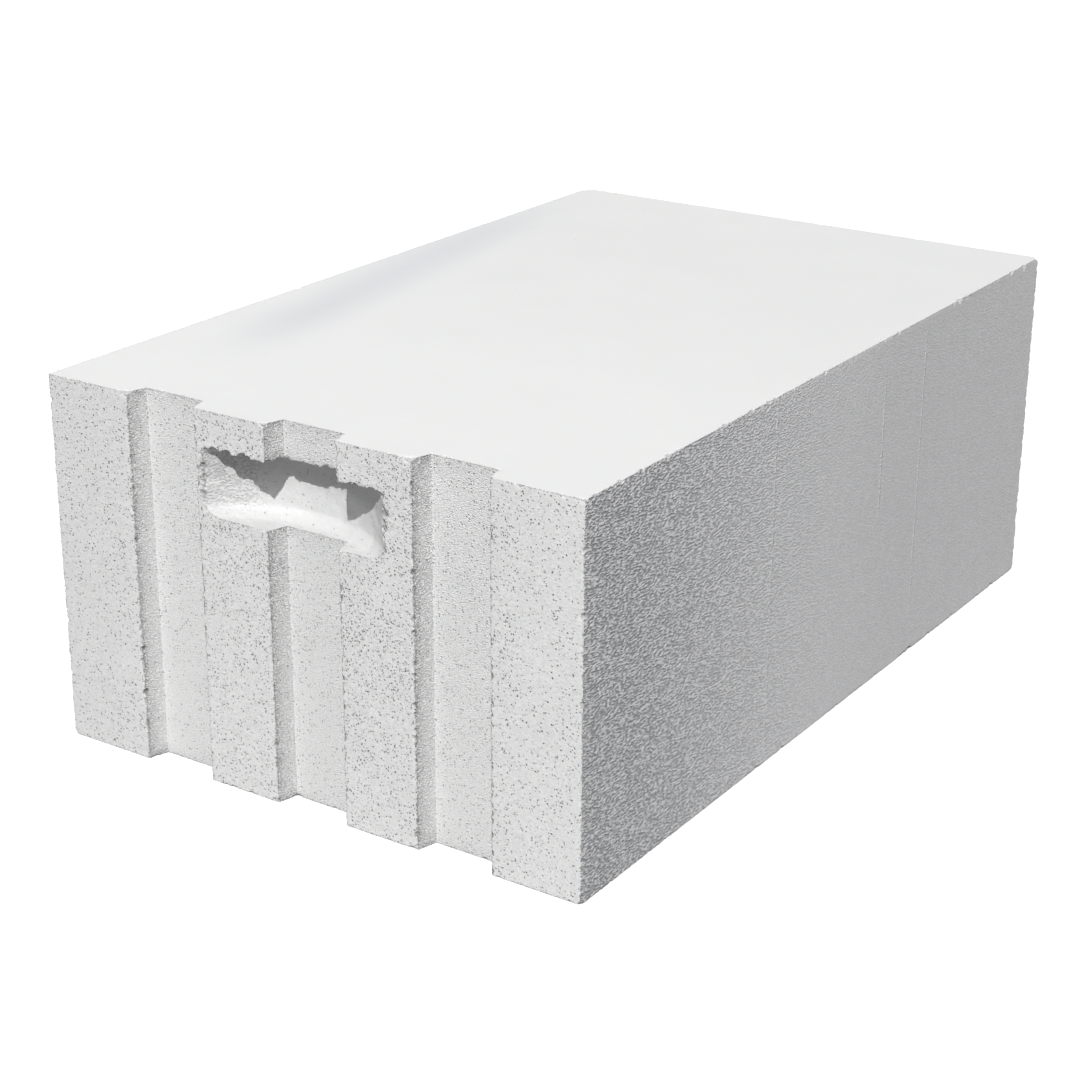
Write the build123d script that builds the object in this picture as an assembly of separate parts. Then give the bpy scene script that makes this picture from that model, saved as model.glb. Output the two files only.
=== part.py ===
from build123d import *
import os
from math import sqrt

# Aerated concrete wall block, in millimetres, lying on its bed as it would in a wall.
# The origin is the middle of the bed. +X runs across the width, +Z is up, and the
# grooved end faces -Y. The whole block is one casting, cut with wires and then milled.

# Body
block_width = 400.0
block_length = 625.0
block_height = 250.0

# Grooves that run down one end, from the top to the bed
groove_count = 3
groove_pitch = 108.5
groove_mouth = 53.5
groove_depth = 13.5
# How far each side wall leans in between the mouth and the floor of a groove
groove_draft = 4.0
# The row of grooves stands this far to the +X side of the middle.
groove_offset = 1.5

# Hand pockets, one in each end. A flat milling disc, turning about an upright axis, is
# fed straight in, so a pocket is a segment of the disc with the rounding of its rim.
disc_radius = 100.0
disc_lower_rounding = 8.0
disc_upper_rounding = 4.0
pocket_height = 43.0
pocket_depth = 27.0
# Concrete left between the pocket and the top of the block
pocket_cover = 24.5
pocket_offset = -6.5

grooved_end = -block_length / 2
pocket_floor = block_height - pocket_cover - pocket_height
pocket_mouth = 2 * sqrt(disc_radius**2 - (disc_radius - pocket_depth) ** 2)


def grooveSection(middle):
    # One groove seen from above, with its mouth on the end of the block
    half_mouth = groove_mouth / 2
    half_floor = half_mouth - groove_draft
    floor = grooved_end + groove_depth
    corners = [
        (middle - half_mouth, grooved_end),
        (middle + half_mouth, grooved_end),
        (middle + half_floor, floor),
        (middle - half_floor, floor),
    ]
    return make_face(Polyline(*corners, close=True))


def groovedBody():
    # The plan of the block with its grooves, raised to the full height
    plan = Rectangle(block_width, block_length)
    first = groove_offset - groove_pitch * (groove_count - 1) / 2
    for index in range(groove_count):
        plan -= grooveSection(first + index * groove_pitch)
    return extrude(plan, block_height)


def millingDisc():
    # The disc where it has been fed to its full depth into the grooved end
    section = Pos(0, pocket_floor) * Rectangle(disc_radius, pocket_height, align=Align.MIN)
    for corner, rounding in ((0, disc_lower_rounding), (-1, disc_upper_rounding)):
        rim = section.vertices().group_by(Axis.X)[-1].sort_by(Axis.Y)
        section = fillet(rim[corner], rounding)
    disc = revolve(Plane.XZ * section, Axis.Z)
    return Pos(pocket_offset, grooved_end + pocket_depth - disc_radius) * disc


disc = millingDisc()
block = groovedBody() - disc - mirror(disc, about=Plane.XZ)

os.makedirs("parts", exist_ok=True)
export_step(block, "parts/block.step")

print(f"pocket mouth {pocket_mouth:.1f} mm wide, concrete {block.volume / 1e9:.5f} m3")
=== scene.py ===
import itertools
import math
import random

import bmesh
import bpy
from mathutils import Euler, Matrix, Vector, kdtree, noise


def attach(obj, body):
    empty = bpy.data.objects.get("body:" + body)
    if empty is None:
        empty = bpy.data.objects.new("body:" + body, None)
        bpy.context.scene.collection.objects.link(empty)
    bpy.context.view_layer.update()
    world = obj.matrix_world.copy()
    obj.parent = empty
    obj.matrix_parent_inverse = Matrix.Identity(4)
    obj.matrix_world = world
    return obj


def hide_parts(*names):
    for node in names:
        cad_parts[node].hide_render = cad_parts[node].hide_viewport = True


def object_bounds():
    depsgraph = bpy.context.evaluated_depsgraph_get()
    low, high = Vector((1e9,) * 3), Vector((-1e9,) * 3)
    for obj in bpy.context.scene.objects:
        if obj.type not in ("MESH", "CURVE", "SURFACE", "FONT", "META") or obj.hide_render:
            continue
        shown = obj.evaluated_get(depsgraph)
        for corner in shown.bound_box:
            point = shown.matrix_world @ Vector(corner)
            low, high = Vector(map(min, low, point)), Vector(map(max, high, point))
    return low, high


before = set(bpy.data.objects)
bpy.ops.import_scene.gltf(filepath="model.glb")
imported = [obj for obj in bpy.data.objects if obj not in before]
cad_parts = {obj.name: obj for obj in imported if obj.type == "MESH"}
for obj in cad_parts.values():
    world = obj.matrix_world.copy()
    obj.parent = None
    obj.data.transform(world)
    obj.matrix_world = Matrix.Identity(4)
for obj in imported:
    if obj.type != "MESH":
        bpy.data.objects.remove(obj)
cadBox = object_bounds()
low, high = cadBox
mm = 0.001


def addObject(name, data):
    thing = bpy.data.objects.new(name, data)
    bpy.context.scene.collection.objects.link(thing)
    return thing


# Camera, where the photograph was taken from

photoCamera = {
    "place": (0.8306, -1.3036, 0.6888),
    "turn": (68.5245, -0.2345, 33.7501),  # degrees about X, Y and Z
    "focalPixels": 2330.8,
    "framePixels": 1080,
    "sensor": 36.0,
}


def makeCamera(spec):
    data = bpy.data.cameras.new("photoCamera")
    data.sensor_width = spec["sensor"]
    data.lens = spec["focalPixels"] / spec["framePixels"] * spec["sensor"]
    camera = addObject("photoCamera", data)
    camera.location = spec["place"]
    camera.rotation_euler = Euler([math.radians(a) for a in spec["turn"]])
    bpy.context.scene.camera = camera


makeCamera(photoCamera)
print("camera placed")


# The block's own surface: the casting with its uneven faces and broken arrises

pocket = {  # the disc that milled each hand pocket, as it is in the solid
    "radius": 100.0 * mm,
    "depth": 27.0 * mm,
    "middle": -6.5 * mm,
    "floor": 182.5 * mm,
    "ceiling": 225.5 * mm,
    "lowerRounding": 8.0 * mm,
    "upperRounding": 4.0 * mm,
}

concreteBlock = {
    # The longest side of a triangle on an arris, in a pocket and on an open face
    "arrisSpacing": 1.15 * mm,
    "pocketSpacing": 3.5 * mm,
    "faceSpacing": 14.0 * mm,
    "growth": 0.8,  # of that side for each millimetre away from an arris
    "hiddenCoarser": 1.7,  # how much longer it is on the arrises that are seen least
    "cell": 30.0 * mm,  # between the first cuts, so that no triangle is long and thin
    "arrisAngle": 15.0,  # degrees, the least bend between two faces that makes an arris
    "sharpAngle": 34.0,  # degrees, from where the shading shows an edge

    # Millimetres of relief, and how far it is from one rise to the next
    "unevenness": (0.18, 70.0),
    "lumps": {"grooveWall": (0.45, 2.4), "milledPocket": (0.5, 7.0)},

    "arrisReach": 4.0 * mm,  # how far from an arris it crumbles, and the faces stay true
    "crumbleFade": 0.8 * mm,
    "rimFade": 3.0 * mm,  # how far the rim of an arris, with its pale crumbs and painted shade, reaches into the faces
    "fullBreakDepth": 0.5 * mm,  # of lost concrete that counts as fully broken, for the pale crumbs and painted shade
    "chipCluster": 34.0,  # millimetres from one cluster of chips to the next
    "hiddenChips": 0.25,  # share of the chips on the -X side

    # For each kind of arris: chips to the metre, the radius and depth of a chip in
    # millimetres, and how far the whole arris has crumbled
    "wear": {
        "long": {"chips": 260, "radius": (1.5, 4.0), "depth": (0.2, 1.1), "crumble": 0.30},
        "across": {"chips": 260, "radius": (1.3, 3.0), "depth": (0.2, 0.9), "crumble": 0.25},
        "upright": {"chips": 560, "radius": (1.3, 2.8), "depth": (0.3, 1.2), "crumble": 0.60},
        "groove": {"chips": 560, "radius": (1.4, 3.0), "depth": (0.4, 1.4), "crumble": 0.70},
        "pocket": {"chips": 480, "radius": (1.5, 4.0), "depth": (0.3, 1.3), "crumble": 0.60},
        "sill": {"chips": 120, "radius": (1.3, 2.6), "depth": (0.1, 0.4), "crumble": 0.35},
    },

    # Corners that have broken off: the corner, and how far the break runs along X, Y and
    # Z, in millimetres
    "corners": [
        ((-133.7, -312.5, 250.0), (-12.0, 5.0, -4.0)),
        ((-25.2, -312.5, 250.0), (-7.0, 3.0, -3.0)),
        ((83.2, -312.5, 250.0), (-13.0, 5.0, -3.5)),
        ((200.0, -312.5, 250.0), (-4.0, 5.0, -2.5)),
        ((-200.0, 312.5, 250.0), (7.0, -9.0, -5.0)),
        ((200.0, 312.5, 250.0), (-5.0, -7.0, -4.0)),
        ((200.0, -312.5, 0.0), (-3.0, 4.0, 3.5)),
        ((-200.0, 312.5, 0.0), (8.0, -6.0, 6.0)),
        ((200.0, 312.5, 0.0), (-6.0, -5.0, 4.0)),
        ((-200.0, -312.5, 0.0), (4.0, 5.0, 4.0)),
    ],
}

# In the order of the block's material slots
finishNames = ["castEnd", "grooveFloor", "grooveWall", "wireCutSide", "smoothBed", "milledPocket"]
pocketIndex = finishNames.index("milledPocket")


def waver(point, size):
    # A smooth random value from -1 to 1, with rises this many millimetres apart
    return noise.noise(point / (size * mm))


def treeOf(points):
    tree = kdtree.KDTree(len(points))
    for index, point in enumerate(points):
        tree.insert(point, index)
    tree.balance()
    return tree


def finishOf(face):
    # By its place on the block
    flat = 0.5 * mm
    corners = [v.co for v in face.verts]
    bottom, top = min(c.z for c in corners), max(c.z for c in corners)
    if top < low.z + flat or bottom > high.z - flat:
        return "smoothBed"
    if all(c.x > high.x - flat for c in corners) or all(c.x < low.x + flat for c in corners):
        return "wireCutSide"
    if all(c.y > high.y - flat for c in corners) or all(c.y < low.y + flat for c in corners):
        return "castEnd"
    if bottom > pocket["floor"] - flat and top < pocket["ceiling"] + flat:
        return "milledPocket"
    facesOut = abs(face.normal.y) > 0.9
    return "grooveFloor" if facesOut else "grooveWall"


def cleanCasting(node):
    # The frame's triangles, welded and joined into whole faces
    weld, flatAngle = 0.005 * mm, math.radians(0.4)
    bm = bmesh.new()
    bm.from_mesh(node.data)
    bmesh.ops.remove_doubles(bm, verts=bm.verts, dist=weld)
    bmesh.ops.dissolve_degenerate(bm, dist=weld, edges=bm.edges)
    bmesh.ops.dissolve_limit(bm, angle_limit=flatAngle, verts=bm.verts, edges=bm.edges)
    bm.normal_update()
    for face in bm.faces:
        face.material_index = finishNames.index(finishOf(face))
    return bm


def arrisKind(edge):
    kinds = {finishNames[f.material_index] for f in edge.link_faces}
    start, end = (v.co for v in edge.verts)
    upright = abs((start - end).normalized().z) > 0.9
    if "milledPocket" in kinds:
        onFloor = max(start.z, end.z) < pocket["floor"] + 2 * mm
        return "sill" if onFloor else "pocket"
    if upright:
        return "groove" if "grooveWall" in kinds else "upright"
    return "long" if "wireCutSide" in kinds else "across"


def findArrises(bm):
    # Outer edges between two finishes: both ends, the two face normals and the kind
    bend = math.radians(concreteBlock["arrisAngle"])
    arrises = []
    for edge in bm.edges:
        first, second = edge.link_faces
        if first.material_index == second.material_index or edge.calc_face_angle_signed() < bend:
            continue
        start, end = (v.co.copy() for v in edge.verts)
        arrises.append((start, end, (first.normal.copy(), second.normal.copy()), arrisKind(edge)))
    return arrises


def arrisTree(arrises):
    # Points along every arris, with the kind that each belongs to
    step = 1.5 * mm
    points, kinds = [], []
    for start, end, normals, kind in arrises:
        count = max(1, math.ceil((end - start).length / step))
        points += [start.lerp(end, i / count) for i in range(count + 1)]
        kinds += [kind] * (count + 1)
    return treeOf(points), kinds


def spacingAt(point):
    # Finer where the block is seen most: the grooved end, the top and the +X side
    seen = 2 * mm
    fine = min(point.y - low.y, high.x - point.x, high.z - point.z) < seen
    return concreteBlock["arrisSpacing"] * (1 if fine else concreteBlock["hiddenCoarser"])


def cutIntoCells(bm, cell):
    # Level and upright cuts through the casting's own corners, and between them
    onCut = 0.05 * mm
    for axis in range(3):
        places = []
        corners = {v for f in bm.faces if f.material_index != pocketIndex for v in f.verts}
        for value in sorted(v.co[axis] for v in corners):
            if not places or value - places[-1] > cell / 4:
                places.append(value)
        for start, end in zip(places, places[1:]):
            count = math.ceil((end - start) / cell)
            for step in range(count):
                centre, normal = Vector(), Vector()
                centre[axis] = start + (end - start) * step / count
                normal[axis] = 1.0
                bmesh.ops.bisect_plane(
                    bm, geom=bm.verts[:] + bm.edges[:] + bm.faces[:],
                    dist=onCut, plane_co=centre, plane_no=normal,
                )


def tooLong(face, points, tree):
    # face: three corners, the longest side first, and the finish
    start, end = points[face[0]], points[face[1]]
    length = (end - start).length
    if length < concreteBlock["arrisSpacing"]:
        return False
    near, index, away = tree.find((start + end) / 2)
    coarsest = concreteBlock["pocketSpacing" if face[3] == pocketIndex else "faceSpacing"]
    return length > min(spacingAt(near) + concreteBlock["growth"] * away, coarsest)


def refine(bm, tree):
    # Halves the longest side of every triangle that is too large for its place, together
    # with the triangle beyond that side
    cutIntoCells(bm, concreteBlock["cell"])
    bmesh.ops.triangulate(bm, faces=bm.faces, quad_method="BEAUTY", ngon_method="BEAUTY")
    bm.verts.index_update()
    points = [v.co.copy() for v in bm.verts]
    faces, sides, names = {}, {}, itertools.count()

    def order(pair):
        # By length, and by number where two sides are as long
        return (points[pair[0]] - points[pair[1]]).length, pair

    def add(corners, finish):
        # Turned so that its first two corners are the ends of its longest side
        a, b, c = corners
        turns = ((a, b, c), (b, c, a), (c, a, b))
        longest = max(turns, key=lambda t: order((min(t[:2]), max(t[:2]))))
        name = next(names)
        faces[name] = (*longest, finish)
        for turn in turns:
            sides.setdefault((min(turn[:2]), max(turn[:2])), []).append(name)
        return name

    waiting = [add([v.index for v in f.verts], f.material_index) for f in bm.faces]
    while waiting:
        first = waiting.pop()
        if first not in faces or not tooLong(faces[first], points, tree):
            continue
        name = first
        while first in faces:
            side = tuple(sorted(faces[name][:2]))
            beyond = [f for f in sides[side] if f != name and tuple(sorted(faces[f][:2])) != side]
            if beyond:  # that triangle has a longer side, which comes first
                name = beyond[0]
                continue
            middle = len(points)
            points.append((points[side[0]] + points[side[1]]) / 2)
            for old in list(sides[side]):
                a, b, c, finish = faces.pop(old)
                for pair in ((a, b), (b, c), (c, a)):
                    sides[tuple(sorted(pair))].remove(old)
                waiting += [add((a, middle, c), finish), add((middle, b, c), finish)]
            name = first
    bm.clear()
    verts = [bm.verts.new(p) for p in points]
    for a, b, c, finish in faces.values():
        bm.faces.new((verts[a], verts[b], verts[c])).material_index = finish
    print("refined to", len(bm.faces), "triangles")


def roundPocket(bm):
    # Sets the pocket's points on the true disc, with the rounding of its rim
    radius, margin = pocket["radius"], 1 * mm
    levels = (
        (pocket["floor"], pocket["lowerRounding"], 1),
        (pocket["ceiling"], pocket["upperRounding"], -1),
    )
    for vert in {v for f in bm.faces if f.material_index == pocketIndex for v in f.verts}:
        side = -1 if vert.co.y < 0 else 1
        axis = Vector((pocket["middle"], side * (high.y - pocket["depth"] + radius), 0))
        out = vert.co - axis
        out.z = 0
        if out.length < radius - max(pocket["lowerRounding"], pocket["upperRounding"]):
            continue
        for level, rounding, way in levels:
            centre = Vector((radius - rounding, level + way * rounding))
            arm = Vector((out.length, vert.co.z)) - centre
            if arm.x > 0 and arm.y * way < 0:
                arm = centre + arm.normalized() * rounding
                place = axis + out.normalized() * arm.x
                vert.co = (place.x, place.y, arm.y)
                break
        else:
            if pocket["floor"] + margin < vert.co.z < pocket["ceiling"] - margin:
                place = axis + out.normalized() * radius
                vert.co = (place.x, place.y, vert.co.z)


def roughen(bm, tree, kinds):
    # Uneven faces, lumpy walls and crumbled arrises: where every point goes, and how much
    # it belongs to the rim of an arris
    reach = concreteBlock["arrisReach"]
    swell, swellSize = concreteBlock["unevenness"]
    lumps = {}
    for face in bm.faces:
        lump = concreteBlock["lumps"].get(finishNames[face.material_index])
        if lump:
            lumps.update(dict.fromkeys(face.verts, lump))
    points, rim = [], []
    for vert in bm.verts:
        near, index, away = tree.find(vert.co)
        rim.append(math.exp(-away / concreteBlock["rimFade"]))
        inward = swell * mm * (0.5 + waver(vert.co, swellSize))
        if away < reach:
            grit = 0.5 + 0.9 * waver(vert.co, 1.7) + 0.4 * waver(vert.co, 6)  # two sizes
            crumble = 1.5 * concreteBlock["wear"][kinds[index]]["crumble"] * mm
            crumble *= math.exp(-away / concreteBlock["crumbleFade"])
            inward = inward * away / reach + max(grit, 0) * crumble
        if vert in lumps:
            rise, size = lumps[vert]
            inward += rise * mm * waver(vert.co, size) * min(away / (1.5 * mm), 1)
        points.append(vert.co - vert.normal * inward)
    return points, rim


def breakCorners(points, moved):
    # Each corner is cut off by a rough plane
    for place, run in concreteBlock["corners"]:
        corner, run = Vector(place) * mm, Vector(run) * mm
        normal = Vector([-1 / r for r in run]).normalized()
        level = normal.dot(corner + Vector((run.x, 0, 0)))
        for index, point in enumerate(points):
            if (point - corner).length > 1.6 * run.length:
                continue
            rough = 0.7 * mm * waver(point, 2.6) + 0.4 * mm
            over = normal.dot(point) - level - rough
            if over > 0:
                points[index] = point - normal * over
                moved[index] = max(moved[index], over)


def scoop(points, moved, tree, centre, radius):
    # One chip: a rough ball takes away what lies inside it, up to a greatest depth
    deepest = 3 * mm
    for co, index, distance in tree.find_range(centre, radius * 1.3):
        arm = points[index] - centre
        ball = radius * (1 + 0.22 * waver(points[index], 1.3))
        if arm.length < ball:
            shift = arm.normalized() * (ball - arm.length)
            if shift.length < deepest:
                points[index] = points[index] + shift
                moved[index] += shift.length


def chipArrises(points, moved, arrises):
    # Chips of many sizes, most of them small, in clusters along every arris
    tree = treeOf(points)
    chance = random.Random(7)
    total = 0
    for start, end, normals, kind in arrises:
        wear = concreteBlock["wear"][kind]
        outward = (normals[0] + normals[1]).normalized()
        hidden = start.x < low.x + 1 * mm
        expected = (end - start).length * wear["chips"]
        expected *= concreteBlock["hiddenChips"] if hidden else 1
        count = int(expected) + (chance.random() < expected - int(expected))
        for _ in range(count):
            place = start.lerp(end, chance.random())
            heavy = 0.55 + 0.9 * waver(place, concreteBlock["chipCluster"])
            if chance.random() > heavy + 0.25:
                continue
            size = chance.random() ** 2
            radius, depth = (
                (least + size * (most - least)) * mm
                for least, most in (wear["radius"], wear["depth"])
            )
            depth *= 0.6 + 0.8 * max(heavy, 0)
            centre = place + outward * (radius - depth)
            centre += Vector([chance.uniform(-0.4, 0.4) * radius for axis in range(3)])
            scoop(points, moved, tree, centre, radius)
            total += 1
    print(total, "chips on the arrises")


def addAttribute(mesh, name, values):
    mesh.attributes.new(name, "FLOAT", "POINT").data.foreach_set("value", values)


def makeBlock():
    bm = cleanCasting(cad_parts["block"])
    arrises = findArrises(bm)
    tree, kinds = arrisTree(arrises)
    refine(bm, tree)
    roundPocket(bm)
    bm.normal_update()
    points, rim = roughen(bm, tree, kinds)
    moved = [0.0] * len(points)
    breakCorners(points, moved)
    chipArrises(points, moved, arrises)
    for vert, point in zip(bm.verts, points):
        vert.co = [min(max(point[axis], low[axis]), high[axis]) for axis in range(3)]

    mesh = bpy.data.meshes.new("concreteBlock")
    bm.to_mesh(mesh)
    bm.free()
    mesh.polygons.foreach_set("use_smooth", [True] * len(mesh.polygons))
    mesh.set_sharp_from_angle(angle=math.radians(concreteBlock["sharpAngle"]))
    addAttribute(mesh, "rim", rim)
    addAttribute(mesh, "broken", [min(m / concreteBlock["fullBreakDepth"], 1.0) for m in moved])
    block = addObject("concreteBlock", mesh)
    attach(block, "root")
    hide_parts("block")
    print("block has", len(mesh.polygons), "triangles")
    return block


block = makeBlock()


# Node helpers

def feed(tree, node, inputs):
    # Links a socket to the input of that name, and sets anything else as its value
    for name, value in inputs.items():
        if isinstance(value, bpy.types.NodeSocket):
            tree.links.new(value, node.inputs[name])
        else:
            node.inputs[name].default_value = value
    return node.outputs


def put(tree, kind, inputs=None, **settings):
    node = tree.nodes.new("ShaderNode" + kind)
    for name, value in settings.items():
        setattr(node, name, value)
    return feed(tree, node, inputs or {})


def place(tree, group, **inputs):
    node = tree.nodes.new("ShaderNodeGroup")
    node.node_tree = group
    return feed(tree, node, inputs)


def maths(tree, operation, *values):
    return put(tree, "Math", dict(enumerate(values)), operation=operation)[0]


def product(tree, first, *others):
    for value in others:
        first = maths(tree, "MULTIPLY", first, value)
    return first


def span(tree, value, fromLow, fromHigh, toLow=0.0, toHigh=1.0, kind="SMOOTHSTEP"):
    names = ("Value", "From Min", "From Max", "To Min", "To Max")
    inputs = dict(zip(names, (value, fromLow, fromHigh, toLow, toHigh)))
    return put(tree, "MapRange", inputs, interpolation_type=kind)[0]


def ramp(tree, *values):
    return span(tree, *values, kind="LINEAR")


def pattern(tree, point, scale, detail, roughness=0.5):
    inputs = {"Vector": point, "Scale": scale, "Detail": detail, "Roughness": roughness}
    return put(tree, "TexNoise", inputs)[0]


def blend(tree, factor, first, second, how="MIX"):
    return put(tree, "Mix", {0: factor, 6: first, 7: second}, data_type="RGBA", blend_type=how)[2]


def toned(tree, color, tone):
    grey = put(tree, "CombineColor", {0: tone, 1: tone, 2: tone})[0]
    return blend(tree, 1.0, color, grey, "MULTIPLY")


def paintShade(tree, color, *shares):
    # Painted shade: towards the dark inside open pores, pits and hollows, by the product of the
    # shares
    return blend(tree, product(tree, *shares), color, concrete["poreShadeColor"])


def emptyTree(owner):
    owner.use_nodes = True
    owner.node_tree.nodes.clear()
    return owner.node_tree


def startGroup(name, **inputs):
    # An input is a vector where no value is given, a colour for four numbers, or a number
    tree = bpy.data.node_groups.new(name, "ShaderNodeTree")
    for label, value in inputs.items():
        kind = {type(None): "Vector", tuple: "Color", float: "Float"}[type(value)]
        socket = tree.interface.new_socket(label, in_out="INPUT", socket_type="NodeSocket" + kind)
        if value is not None:
            socket.default_value = value
    return tree, tree.nodes.new("NodeGroupInput").outputs


def endGroup(tree, **outputs):
    for label, value in outputs.items():
        kind = "Color" if value.type == "RGBA" else "Float"
        tree.interface.new_socket(label, in_out="OUTPUT", socket_type="NodeSocket" + kind)
    feed(tree, tree.nodes.new("NodeGroupOutput"), outputs)
    return tree


# Shared effects. Every group works on points in millimetres.

concrete = {
    "color": (0.845, 0.845, 0.84, 1.0),
    # the painted shade inside pores, pits and hollows
    "poreShadeColor": (0.12, 0.12, 0.12, 1.0),
    "paleColor": (0.90, 0.90, 0.895, 1.0),
    "coolColor": (0.812, 0.836, 0.865, 1.0),
    "warmColor": (0.86, 0.845, 0.815, 1.0),
    # How thickly the pores lie on an end, in millimetres and shares
    "crowdMiddle": 22.0,  # along X
    "crowdReach": (80.0, 175.0),  # from that middle, where it starts and stops thinning
    "crowdLeast": 0.55,
    "crowdRise": (0.66, 0.92),  # at the bed, and from this height up
    "crowdHeight": 200.0,
}


def makeBareConcrete():
    # Concrete before any hole: soft clouds of tone, a fine grain and a faint drift of hue
    tree, given = startGroup(
        "bareConcrete", Point=None, Tone=1.0, CloudSize=40.0, CloudShare=0.02,
        GrainSize=1.4, GrainShare=0.05, HueShare=0.25,
    )
    point = given["Point"]
    clouds = pattern(tree, point, maths(tree, "DIVIDE", 1.0, given["CloudSize"]), 4.0, 0.55)
    clouds = ramp(tree, clouds, 0.25, 0.75, -1.0, 1.0)
    grain = pattern(tree, point, maths(tree, "DIVIDE", 1.0, given["GrainSize"]), 3.0, 0.6)
    grain = ramp(tree, grain, 0.25, 0.75, -1.0, 1.0)
    hue = ramp(tree, pattern(tree, point, 0.25, 2.0), 0.3, 0.7, -1.0, 1.0)
    tone = maths(tree, "MULTIPLY_ADD", clouds, given["CloudShare"], given["Tone"])
    tone = maths(tree, "MULTIPLY_ADD", grain, given["GrainShare"], tone)
    color = concrete["color"]
    for way, tint in ((1.0, "coolColor"), (-1.0, "warmColor")):
        share = span(tree, hue, 0.0, way, 0.0, given["HueShare"])
        color = blend(tree, share, color, concrete[tint])
    return endGroup(tree, Color=toned(tree, color, tone), Clouds=clouds, Grain=grain)


def makePores():
    # Round gas pores that the face cuts open: bubbles of many sizes, one to a cell
    tree, given = startGroup(
        "gasPores", Point=None, Cell=2.2, Smallest=0.08, Largest=0.4, Share=0.6, Crowd=1.0,
    )
    point = given["Point"]
    wobble = put(tree, "TexNoise", {"Vector": point, "Scale": 0.9, "Detail": 1.0})["Color"]
    inputs = {0: wobble, 1: (0.7, 0.7, 0.7), 2: point}  # so that no bubble is quite round
    bent = put(tree, "VectorMath", inputs, operation="MULTIPLY_ADD")[0]
    scale = maths(tree, "DIVIDE", 1.0, given["Cell"])
    cells = put(tree, "TexVoronoi", {"Vector": bent, "Scale": scale})
    chance = put(tree, "SeparateColor", {0: cells["Color"]})  # three random values to a cell
    size = maths(tree, "POWER", chance[0], 1.6)  # most bubbles are small
    size = ramp(tree, size, 0.0, 1.0, given["Smallest"], given["Largest"])
    inner, outer = product(tree, size, 0.55), product(tree, size, 1.1)
    hole = span(tree, cells["Distance"], inner, outer, 1.0, 0.0)
    share = product(tree, given["Share"], given["Crowd"])
    mask = product(tree, hole, maths(tree, "LESS_THAN", chance[1], share))
    # Shade is painted shade inside the open pore; Mask gives its hollow for the bump
    shade = product(tree, mask, ramp(tree, chance[2], 0.0, 1.0, 0.45, 1.0))
    return endGroup(tree, Mask=mask, Shade=shade)


def makeCrowd():
    # Pores lie thickest in the middle of an end and towards the top, and in patches
    tree, given = startGroup("poreCrowd", Point=None)
    across, along, height = put(tree, "SeparateXYZ", {0: given["Point"]})
    away = maths(tree, "ABSOLUTE", maths(tree, "SUBTRACT", across, concrete["crowdMiddle"]))
    middle = span(tree, away, *concrete["crowdReach"], 1.0, concrete["crowdLeast"])
    rise = span(tree, height, 0.0, concrete["crowdHeight"], *concrete["crowdRise"])
    patches = ramp(tree, pattern(tree, given["Point"], 0.03, 2.0), 0.3, 0.7, 0.75, 1.2)
    return endGroup(tree, Crowd=product(tree, middle, rise, patches))


def makeTool():
    # Short ridges that a wire or a cutter drags through the soft cake
    tree, given = startGroup(
        "toolMarks", Point=None, Wave=2.2, Length=8.0, Slope=0.0, Harden=0.25,
    )
    across, along, height = put(tree, "SeparateXYZ", {0: given["Point"]})
    level = maths(tree, "SUBTRACT", height, product(tree, along, given["Slope"]))
    drawn = put(tree, "CombineXYZ", {
        0: maths(tree, "DIVIDE", across, given["Length"]),
        1: maths(tree, "DIVIDE", along, given["Length"]),
        2: maths(tree, "DIVIDE", level, given["Wave"]),
    })[0]
    ridges = pattern(tree, drawn, 1.6, 1.2, 0.45)
    start = maths(tree, "SUBTRACT", 0.5, given["Harden"])
    end = maths(tree, "ADD", 0.5, given["Harden"])
    return endGroup(tree, Height=span(tree, ridges, start, end))


def makeCrumbs():
    # Pale crumbs, and painted shade in the pits among them, that lie along an arris, where the
    # mesh says it is
    tree, given = startGroup(
        "arrisCrumbs", Point=None, Color=concrete["color"], Rim=0.0, Broken=0.0,
        Pale=0.12, Dark=0.45,
    )
    reach = maths(tree, "MULTIPLY_ADD", given["Broken"], 0.45, given["Rim"])
    patches = product(tree, reach, pattern(tree, given["Point"], 0.45, 3.0))
    pale = product(tree, span(tree, patches, 0.15, 0.4), given["Pale"])
    # Painted shade in the pits of the broken arris
    pits = product(tree, reach, pattern(tree, given["Point"], 0.8, 2.0, 0.7))
    dark = product(tree, span(tree, pits, 0.33, 0.55), given["Dark"])
    color = blend(tree, pale, given["Color"], concrete["paleColor"])
    return endGroup(tree, Color=paintShade(tree, color, dark))


bareConcrete = makeBareConcrete()
gasPores = makePores()
poreCrowd = makeCrowd()
toolMarks = makeTool()
arrisCrumbs = makeCrumbs()
print("effect groups made")


# Finishes. Lengths are in millimetres, and the inner dictionaries hold the values for the
# groups. A "reach" is where a change starts and ends, along X, Y or Z of the block.

def startFinish(name, spec):
    material = bpy.data.materials.new(name)
    tree = emptyTree(material)
    inputs = {0: put(tree, "TexCoord")["Object"], 1: (1 / mm, 1 / mm, 1 / mm)}
    point = put(tree, "VectorMath", inputs, operation="MULTIPLY")[0]
    bare = place(tree, bareConcrete, Point=point, **spec["bare"])
    return material, tree, point, bare


def readAttribute(tree, name):
    return put(tree, "Attribute", attribute_name=name)["Fac"]


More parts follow.
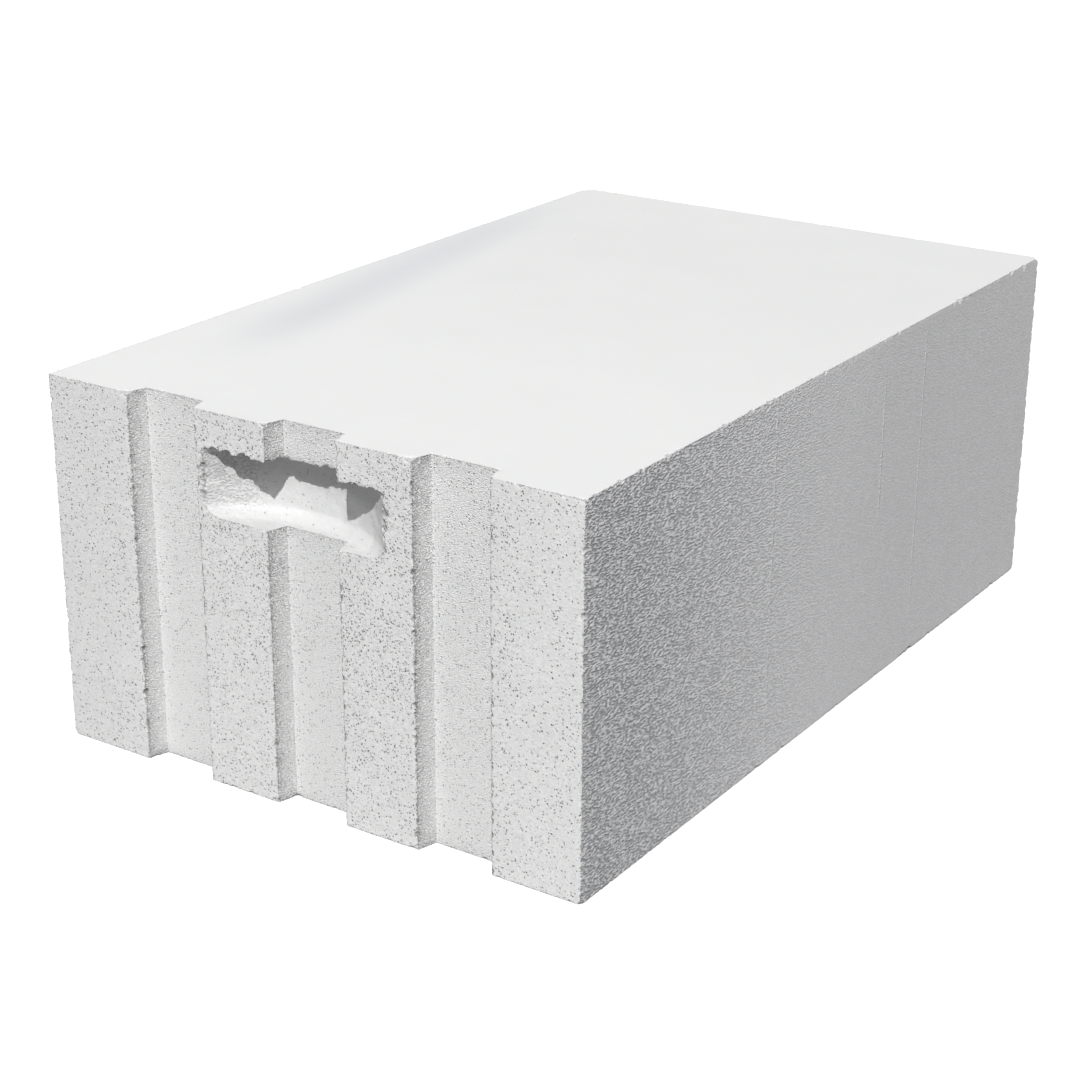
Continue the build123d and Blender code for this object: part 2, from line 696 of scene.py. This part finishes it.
def endFinish(tree, point, bare, color, spec, reliefs):
    # spec["depths"] has the real rise of each pattern in reliefs
    crumbs = place(
        tree, arrisCrumbs, Point=point, Color=color, Rim=readAttribute(tree, "rim"),
        Broken=readAttribute(tree, "broken"), **spec["crumbs"],
    )
    height = 0.0
    for name, depth in spec["depths"].items():
        height = maths(tree, "MULTIPLY_ADD", reliefs[name], depth, height)
    shader = put(tree, "BsdfPrincipled", {
        "Base Color": crumbs["Color"],
        "Roughness": ramp(tree, bare["Clouds"], -1.0, 1.0, *spec["roughness"]),
        "Specular IOR Level": 0.25,
        "Normal": put(tree, "Bump", {"Height": height, "Distance": mm, "Strength": 1.0})[0],
    })
    put(tree, "OutputMaterial", {"Surface": shader[0]})


castEnd = {
    "bare": {
        "Tone": 1.09, "CloudSize": 45.0, "CloudShare": 0.02,
        "GrainSize": 1.8, "GrainShare": 0.10, "HueShare": 0.25,
    },
    "leftTone": 0.945,  # of the -X part
    "leftReach": (-170.0, -100.0),  # along X
    "pores": {"Cell": 1.3, "Smallest": 0.15, "Largest": 0.55, "Share": 1.0},
    "bigPores": {"Cell": 3.4, "Smallest": 0.08, "Largest": 0.22, "Share": 0.6},
    "bigShade": 0.9,
    "worms": {"Wave": 1.3, "Length": 1.6, "Slope": 0.0, "Harden": 0.12},
    "wormShade": 0.12,
    "crumbs": {"Pale": 0.12, "Dark": 0.45},
    "roughness": (0.88, 0.97),
    "depths": {"pores": -0.35, "bigPores": -0.6, "worms": -0.06, "grain": 0.03},
}


def makeCastEnd(name, spec):
    # Lands of the grooved end, and the whole plain end
    material, tree, point, bare = startFinish(name, spec)
    across = put(tree, "SeparateXYZ", {0: point})[0]
    tone = span(tree, across, *spec["leftReach"], spec["leftTone"], 1.0)
    color = toned(tree, bare["Color"], tone)
    crowd = place(tree, poreCrowd, Point=point)["Crowd"]
    pores = place(tree, gasPores, Point=point, Crowd=crowd, **spec["pores"])
    bigPores = place(tree, gasPores, Point=point, Crowd=crowd, **spec["bigPores"])
    worms = place(tree, toolMarks, Point=point, **spec["worms"])["Height"]
    # Painted shade in the dents of the worm marks and in the open pores, small and big
    color = paintShade(tree, color, worms, crowd, spec["wormShade"])
    color = paintShade(tree, color, pores["Shade"])
    color = paintShade(tree, color, bigPores["Shade"], spec["bigShade"])
    endFinish(tree, point, bare, color, spec, {
        "pores": pores["Mask"], "bigPores": bigPores["Mask"],
        "worms": worms, "grain": bare["Grain"],
    })
    return material


grooveFloor = {
    "bare": {
        "Tone": 1.14, "CloudSize": 35.0, "CloudShare": 0.02,
        "GrainSize": 1.2, "GrainShare": 0.04, "HueShare": 0.25,
    },
    "pores": {"Cell": 1.7, "Smallest": 0.12, "Largest": 0.42, "Share": 0.9},
    "poreShade": 0.7,
    "streaks": {"Wave": 1.2, "Length": 2.0, "Slope": 0.05, "Harden": 0.16},
    "streakShade": (0.04, 0.18),  # painted shade in the hollows of the streaks: everywhere, and with the crowd of pores
    "rimShade": 0.3,
    # painted shade all along the rim of the broken arris
    "arrisShade": 0.05,
    "crumbs": {"Pale": 0.12, "Dark": 0.45},
    "roughness": (0.88, 0.97),
    "depths": {"pores": -0.3, "streaks": 0.20},
}
# The walls, with more painted shade than the floors
grooveWall = {
    "bare": {
        "Tone": 1.12, "CloudSize": 35.0, "CloudShare": 0.02,
        "GrainSize": 1.2, "GrainShare": 0.04, "HueShare": 0.25,
    },
    "pores": {"Cell": 1.7, "Smallest": 0.12, "Largest": 0.42, "Share": 1.0},
    "poreShade": 0.7,
    "streaks": {"Wave": 1.3, "Length": 1.8, "Slope": 0.05, "Harden": 0.16},
    "streakShade": (0.04, 0.28),
    "rimShade": 0.8,
    "arrisShade": 0.16,
    "crumbs": {"Pale": 0.12, "Dark": 0.45},
    "roughness": (0.88, 0.97),
    "depths": {"pores": -0.3, "streaks": 0.45},
}


def makeGroove(name, spec):
    # Floors and walls of the grooves, with fine level streaks from the cutter
    material, tree, point, bare = startFinish(name, spec)
    crowd = place(tree, poreCrowd, Point=point)["Crowd"]
    streaks = place(tree, toolMarks, Point=point, **spec["streaks"])["Height"]
    pores = place(tree, gasPores, Point=point, Crowd=crowd, **spec["pores"])
    rim = readAttribute(tree, "rim")
    hollows = maths(tree, "SUBTRACT", 1.0, streaks)
    everywhere, crowded = spec["streakShade"]
    shade = maths(tree, "MULTIPLY_ADD", crowd, crowded, everywhere)
    # Painted shade: in the hollows of the streaks, more of it in those near the rim, all along
    # the rim and in the pores
    color = paintShade(tree, bare["Color"], hollows, shade)
    color = paintShade(tree, color, hollows, rim, spec["rimShade"])
    color = paintShade(tree, color, rim, spec["arrisShade"])
    color = paintShade(tree, color, pores["Shade"], spec["poreShade"])
    endFinish(tree, point, bare, color, spec, {"pores": pores["Mask"], "streaks": streaks})
    return material


wireCutSide = {
    "bare": {
        "Tone": 1.18, "CloudSize": 9.0, "CloudShare": 0.04,
        "GrainSize": 1.5, "GrainShare": 0.14, "HueShare": 0.7,
    },
    "tint": (0.99, 0.985, 1.0, 1.0),
    "backTone": 0.82,
    "backReach": (-230.0, 120.0),  # along Y, from the full tone to that of the back
    "ripple": {"Wave": 1.9, "Length": 4.4, "Slope": -0.10, "Harden": 0.18},
    "rippleReach": (-290.0, 30.0),  # along Y, where it starts and stops fading
    "rippleLeft": 0.10,
    # painted shade in the hollows of the ripple, beside its bump
    "hollowShadeColor": (0.40, 0.405, 0.42, 1.0),
    "hollowShade": 0.95,
    # Faint pale dotted lines on the +X side: the place along Y, and the heights they span
    "seams": [(-94.0, 0.0, 250.0), (59.0, 117.0, 220.0), (120.0, 23.0, 242.0)],
    "seamWidth": 1.6,
    "seamFade": (4.0, 10.0),  # beyond each end of a line, and within it
    "seamColor": (1.0, 1.0, 1.0, 1.0),
    "crumbs": {"Pale": 0.12, "Dark": 0.45},
    "roughness": (0.88, 0.97),
    "depths": {"ripple": 0.85, "grain": 0.08, "seams": 0.6},
}


def makeWireCutSide(name, spec):
    # Long sides: the wire's ripple is sharp near the grooved end and dies away
    material, tree, point, bare = startFinish(name, spec)
    across, along, height = put(tree, "SeparateXYZ", {0: point})
    fade = span(tree, along, *spec["rippleReach"], 1.0, spec["rippleLeft"])
    ripple = place(tree, toolMarks, Point=point, **spec["ripple"])["Height"]
    # Painted shade in the hollows of the ripple
    hollows = product(tree, maths(tree, "SUBTRACT", 1.0, ripple), fade, spec["hollowShade"])
    color = blend(tree, hollows, bare["Color"], spec["hollowShadeColor"])
    color = toned(tree, color, span(tree, along, *spec["backReach"], 1.0, spec["backTone"]))
    color = blend(tree, 1.0, color, spec["tint"], "MULTIPLY")

    dots = span(tree, pattern(tree, point, 0.5, 1.0), 0.42, 0.6, 0.15, 1.0)
    dots = product(tree, dots, span(tree, across, 0.0, 10.0))  # the +X side alone
    seams = 0.0
    beyond, within = spec["seamFade"]
    for line, bottom, top in spec["seams"]:
        off = maths(tree, "ABSOLUTE", maths(tree, "SUBTRACT", along, line))
        seam = product(
            tree, dots, span(tree, off, 0.0, spec["seamWidth"], 1.0, 0.0),
            span(tree, height, bottom - beyond, bottom + within),
            span(tree, height, top + beyond, top - within),
        )
        color = blend(tree, seam, color, spec["seamColor"])
        seams = maths(tree, "ADD", seams, seam)
    ripple = product(tree, ripple, fade)
    reliefs = {"ripple": ripple, "grain": bare["Grain"], "seams": seams}
    endFinish(tree, point, bare, color, spec, reliefs)
    return material


smoothBed = {
    "bare": {
        "Tone": 0.985, "CloudSize": 60.0, "CloudShare": 0.012,
        "GrainSize": 5.0, "GrainShare": 0.006, "HueShare": 0.3,
    },
    "fall": (1.02, 0.96),  # of the tone, from the grooved end to the far end
    "fallReach": (-300.0, 200.0),  # along Y
    "pits": {"Cell": 16.0, "Smallest": 0.02, "Largest": 0.05, "Share": 0.12},
    "pitShade": 0.6,
    # A damp band on the top: its ends along X and Y, and from where to where along Y it
    # fades at each, counted from that end
    "bandStart": (-144.0, -184.0),
    "bandEnd": (-188.0, 167.0),
    "bandFadeIn": (-60.0, 80.0),
    "bandFadeOut": (140.0, -40.0),
    "bandWidth": 42.0,
    "bandShare": 0.85,
    "bandColor": (0.705, 0.722, 0.74, 1.0),
    "crumbs": {"Pale": 0.03, "Dark": 0.45},
    "roughness": (0.86, 0.95),
    "depths": {"pits": -0.4, "grain": 0.03},
}


def makeSmoothBed(name, spec):
    # Top and bed, smooth as plaster
    material, tree, point, bare = startFinish(name, spec)
    across, along, height = put(tree, "SeparateXYZ", {0: point})
    color = toned(tree, bare["Color"], span(tree, along, *spec["fallReach"], *spec["fall"]))
    (startX, startY), (endX, endY) = spec["bandStart"], spec["bandEnd"]
    slope = (endX - startX) / (endY - startY)
    centre = maths(tree, "MULTIPLY_ADD", maths(tree, "SUBTRACT", along, startY), slope, startX)
    off = maths(tree, "ABSOLUTE", maths(tree, "SUBTRACT", across, centre))
    band = product(
        tree, spec["bandShare"], span(tree, off, 0.0, spec["bandWidth"], 1.0, 0.0),
        span(tree, along, *(startY + run for run in spec["bandFadeIn"])),
        span(tree, along, *(endY + run for run in spec["bandFadeOut"])),
        maths(tree, "GREATER_THAN", height, high.z / mm / 2),  # the top alone
    )
    color = blend(tree, band, color, spec["bandColor"])
    pits = place(tree, gasPores, Point=point, **spec["pits"])
    # Painted shade in the open pits
    color = paintShade(tree, color, pits["Shade"], spec["pitShade"])
    endFinish(tree, point, bare, color, spec, {"pits": pits["Mask"], "grain": bare["Grain"]})
    return material


milledPocket = {
    "bare": {
        "Tone": 0.985, "CloudSize": 20.0, "CloudShare": 0.04,
        "GrainSize": 1.8, "GrainShare": 0.04, "HueShare": 0.25,
    },
    # Painted shade: the floor darker against the light that bounces about inside the pocket, and
    # the upper part darker where the lip shades it
    "floorShadeTone": 0.802,
    "floorReach": (1.0, 7.0),  # above the floor of the pocket, as are the next two
    "topShadeTone": 0.80,
    "topReach": (18.0, 32.0),
    "tears": {"Wave": 2.2, "Length": 3.0, "Slope": 0.3, "Harden": 0.15},
    "tearReach": (4.0, 9.0),
    "tearShade": 0.26,
    "tearLeast": 0.15,  # on the +X part, since the disc tore the -X part most
    "tearSide": (-35.0, -55.0),  # along X, from the least to the full
    "pores": {"Cell": 2.0, "Smallest": 0.1, "Largest": 0.36, "Share": 0.35},
    "poreShade": 0.5,
    "crumbs": {"Pale": 0.12, "Dark": 0.45},
    "roughness": (0.88, 0.97),
    "depths": {"pores": -0.3, "tears": 0.26},
}


def makeMilledPocket(name, spec):
    # Hand pockets, torn a little by the disc
    material, tree, point, bare = startFinish(name, spec)
    across, along, height = put(tree, "SeparateXYZ", {0: point})
    height = maths(tree, "SUBTRACT", height, pocket["floor"] / mm)
    # Painted shade on the floor and on the upper part of the pocket
    bottom = span(tree, height, *spec["floorReach"], spec["floorShadeTone"], 1.0)
    top = span(tree, height, *spec["topReach"], 1.0, spec["topShadeTone"])
    color = toned(tree, bare["Color"], product(tree, bottom, top))
    pores = place(tree, gasPores, Point=point, **spec["pores"])
    # Painted shade in the pores
    color = paintShade(tree, color, pores["Shade"], spec["poreShade"])
    tears = place(tree, toolMarks, Point=point, **spec["tears"])["Height"]
    hollows = maths(tree, "SUBTRACT", 1.0, tears)
    above = span(tree, height, *spec["tearReach"])
    torn = span(tree, across, *spec["tearSide"], spec["tearLeast"], 1.0)
    # Painted shade in the hollows of the tears, most on the -X part
    color = paintShade(tree, color, hollows, spec["tearShade"], above, torn)
    tears = product(tree, tears, torn)
    endFinish(tree, point, bare, color, spec, {"pores": pores["Mask"], "tears": tears})
    return material


makers = {
    "castEnd": (makeCastEnd, castEnd),
    "grooveFloor": (makeGroove, grooveFloor),
    "grooveWall": (makeGroove, grooveWall),
    "wireCutSide": (makeWireCutSide, wireCutSide),
    "smoothBed": (makeSmoothBed, smoothBed),
    "milledPocket": (makeMilledPocket, milledPocket),
}
for name in finishNames:
    make, spec = makers[name]
    block.data.materials.append(make(name, spec))
print("finishes made")


# Floor, sun and studio

studio = {
    "sunStrength": 3.2,
    "sunTravel": (-0.51, 1.0, -1.45),  # the way its light goes
    "sunAngle": 0.8,  # degrees
    "worldStrength": 0.2,
    "worldColor": (0.98, 0.99, 1.0, 1.0),
    "floorSize": 12.0,
    "floorColor": (0.27, 0.27, 0.27, 1.0),
    "floorGlow": 0.12,  # added where the camera sees it
    "floorGap": 0.1 * mm,
}
white = (1.0, 1.0, 1.0, 1.0)


def seenRays(tree):
    # 1 for what the camera sees, and 0 for light that goes on to the block
    path = put(tree, "LightPath")
    seen = maths(tree, "MAXIMUM", path["Is Camera Ray"], path["Is Glossy Ray"])
    return maths(tree, "MAXIMUM", seen, path["Is Transmission Ray"])


def makeFloor():
    mesh = bpy.data.meshes.new("studioFloor")
    half = studio["floorSize"] / 2
    corners = [(-half, -half, 0), (half, -half, 0), (half, half, 0), (-half, half, 0)]
    mesh.from_pydata(corners, [], [(0, 1, 2, 3)])
    floor = addObject("studioFloor", mesh)
    floor.location.z = low.z - studio["floorGap"]
    material = bpy.data.materials.new("studioFloor")
    tree = emptyTree(material)
    seen = seenRays(tree)
    tint = blend(tree, seen, studio["floorColor"], white)
    surface = {"Base Color": tint, "Roughness": 0.9, "Specular IOR Level": 0.0}
    shader = put(tree, "BsdfPrincipled", surface)
    strength = product(tree, seen, studio["floorGlow"])
    glow = put(tree, "Emission", {"Color": white, "Strength": strength})
    both = put(tree, "AddShader", {0: shader[0], 1: glow[0]})
    put(tree, "OutputMaterial", {"Surface": both[0]})
    mesh.materials.append(material)


def makeLight():
    data = bpy.data.lights.new("studioSun", "SUN")
    data.energy = studio["sunStrength"]
    data.angle = math.radians(studio["sunAngle"])
    sun = addObject("studioSun", data)
    sun.rotation_euler = Vector(studio["sunTravel"]).to_track_quat("-Z", "Y").to_euler()
    world = bpy.data.worlds.new("studioWorld")
    tree = emptyTree(world)
    seen = seenRays(tree)
    tint = blend(tree, seen, studio["worldColor"], white)
    strength = ramp(tree, seen, 0.0, 1.0, studio["worldStrength"], 1.0)
    glow = put(tree, "Background", {"Color": tint, "Strength": strength})
    put(tree, "OutputWorld", {"Surface": glow[0]})
    bpy.context.scene.world = world


makeFloor()
makeLight()
bpy.context.scene.view_settings.view_transform = "Standard"
print("studio lit")
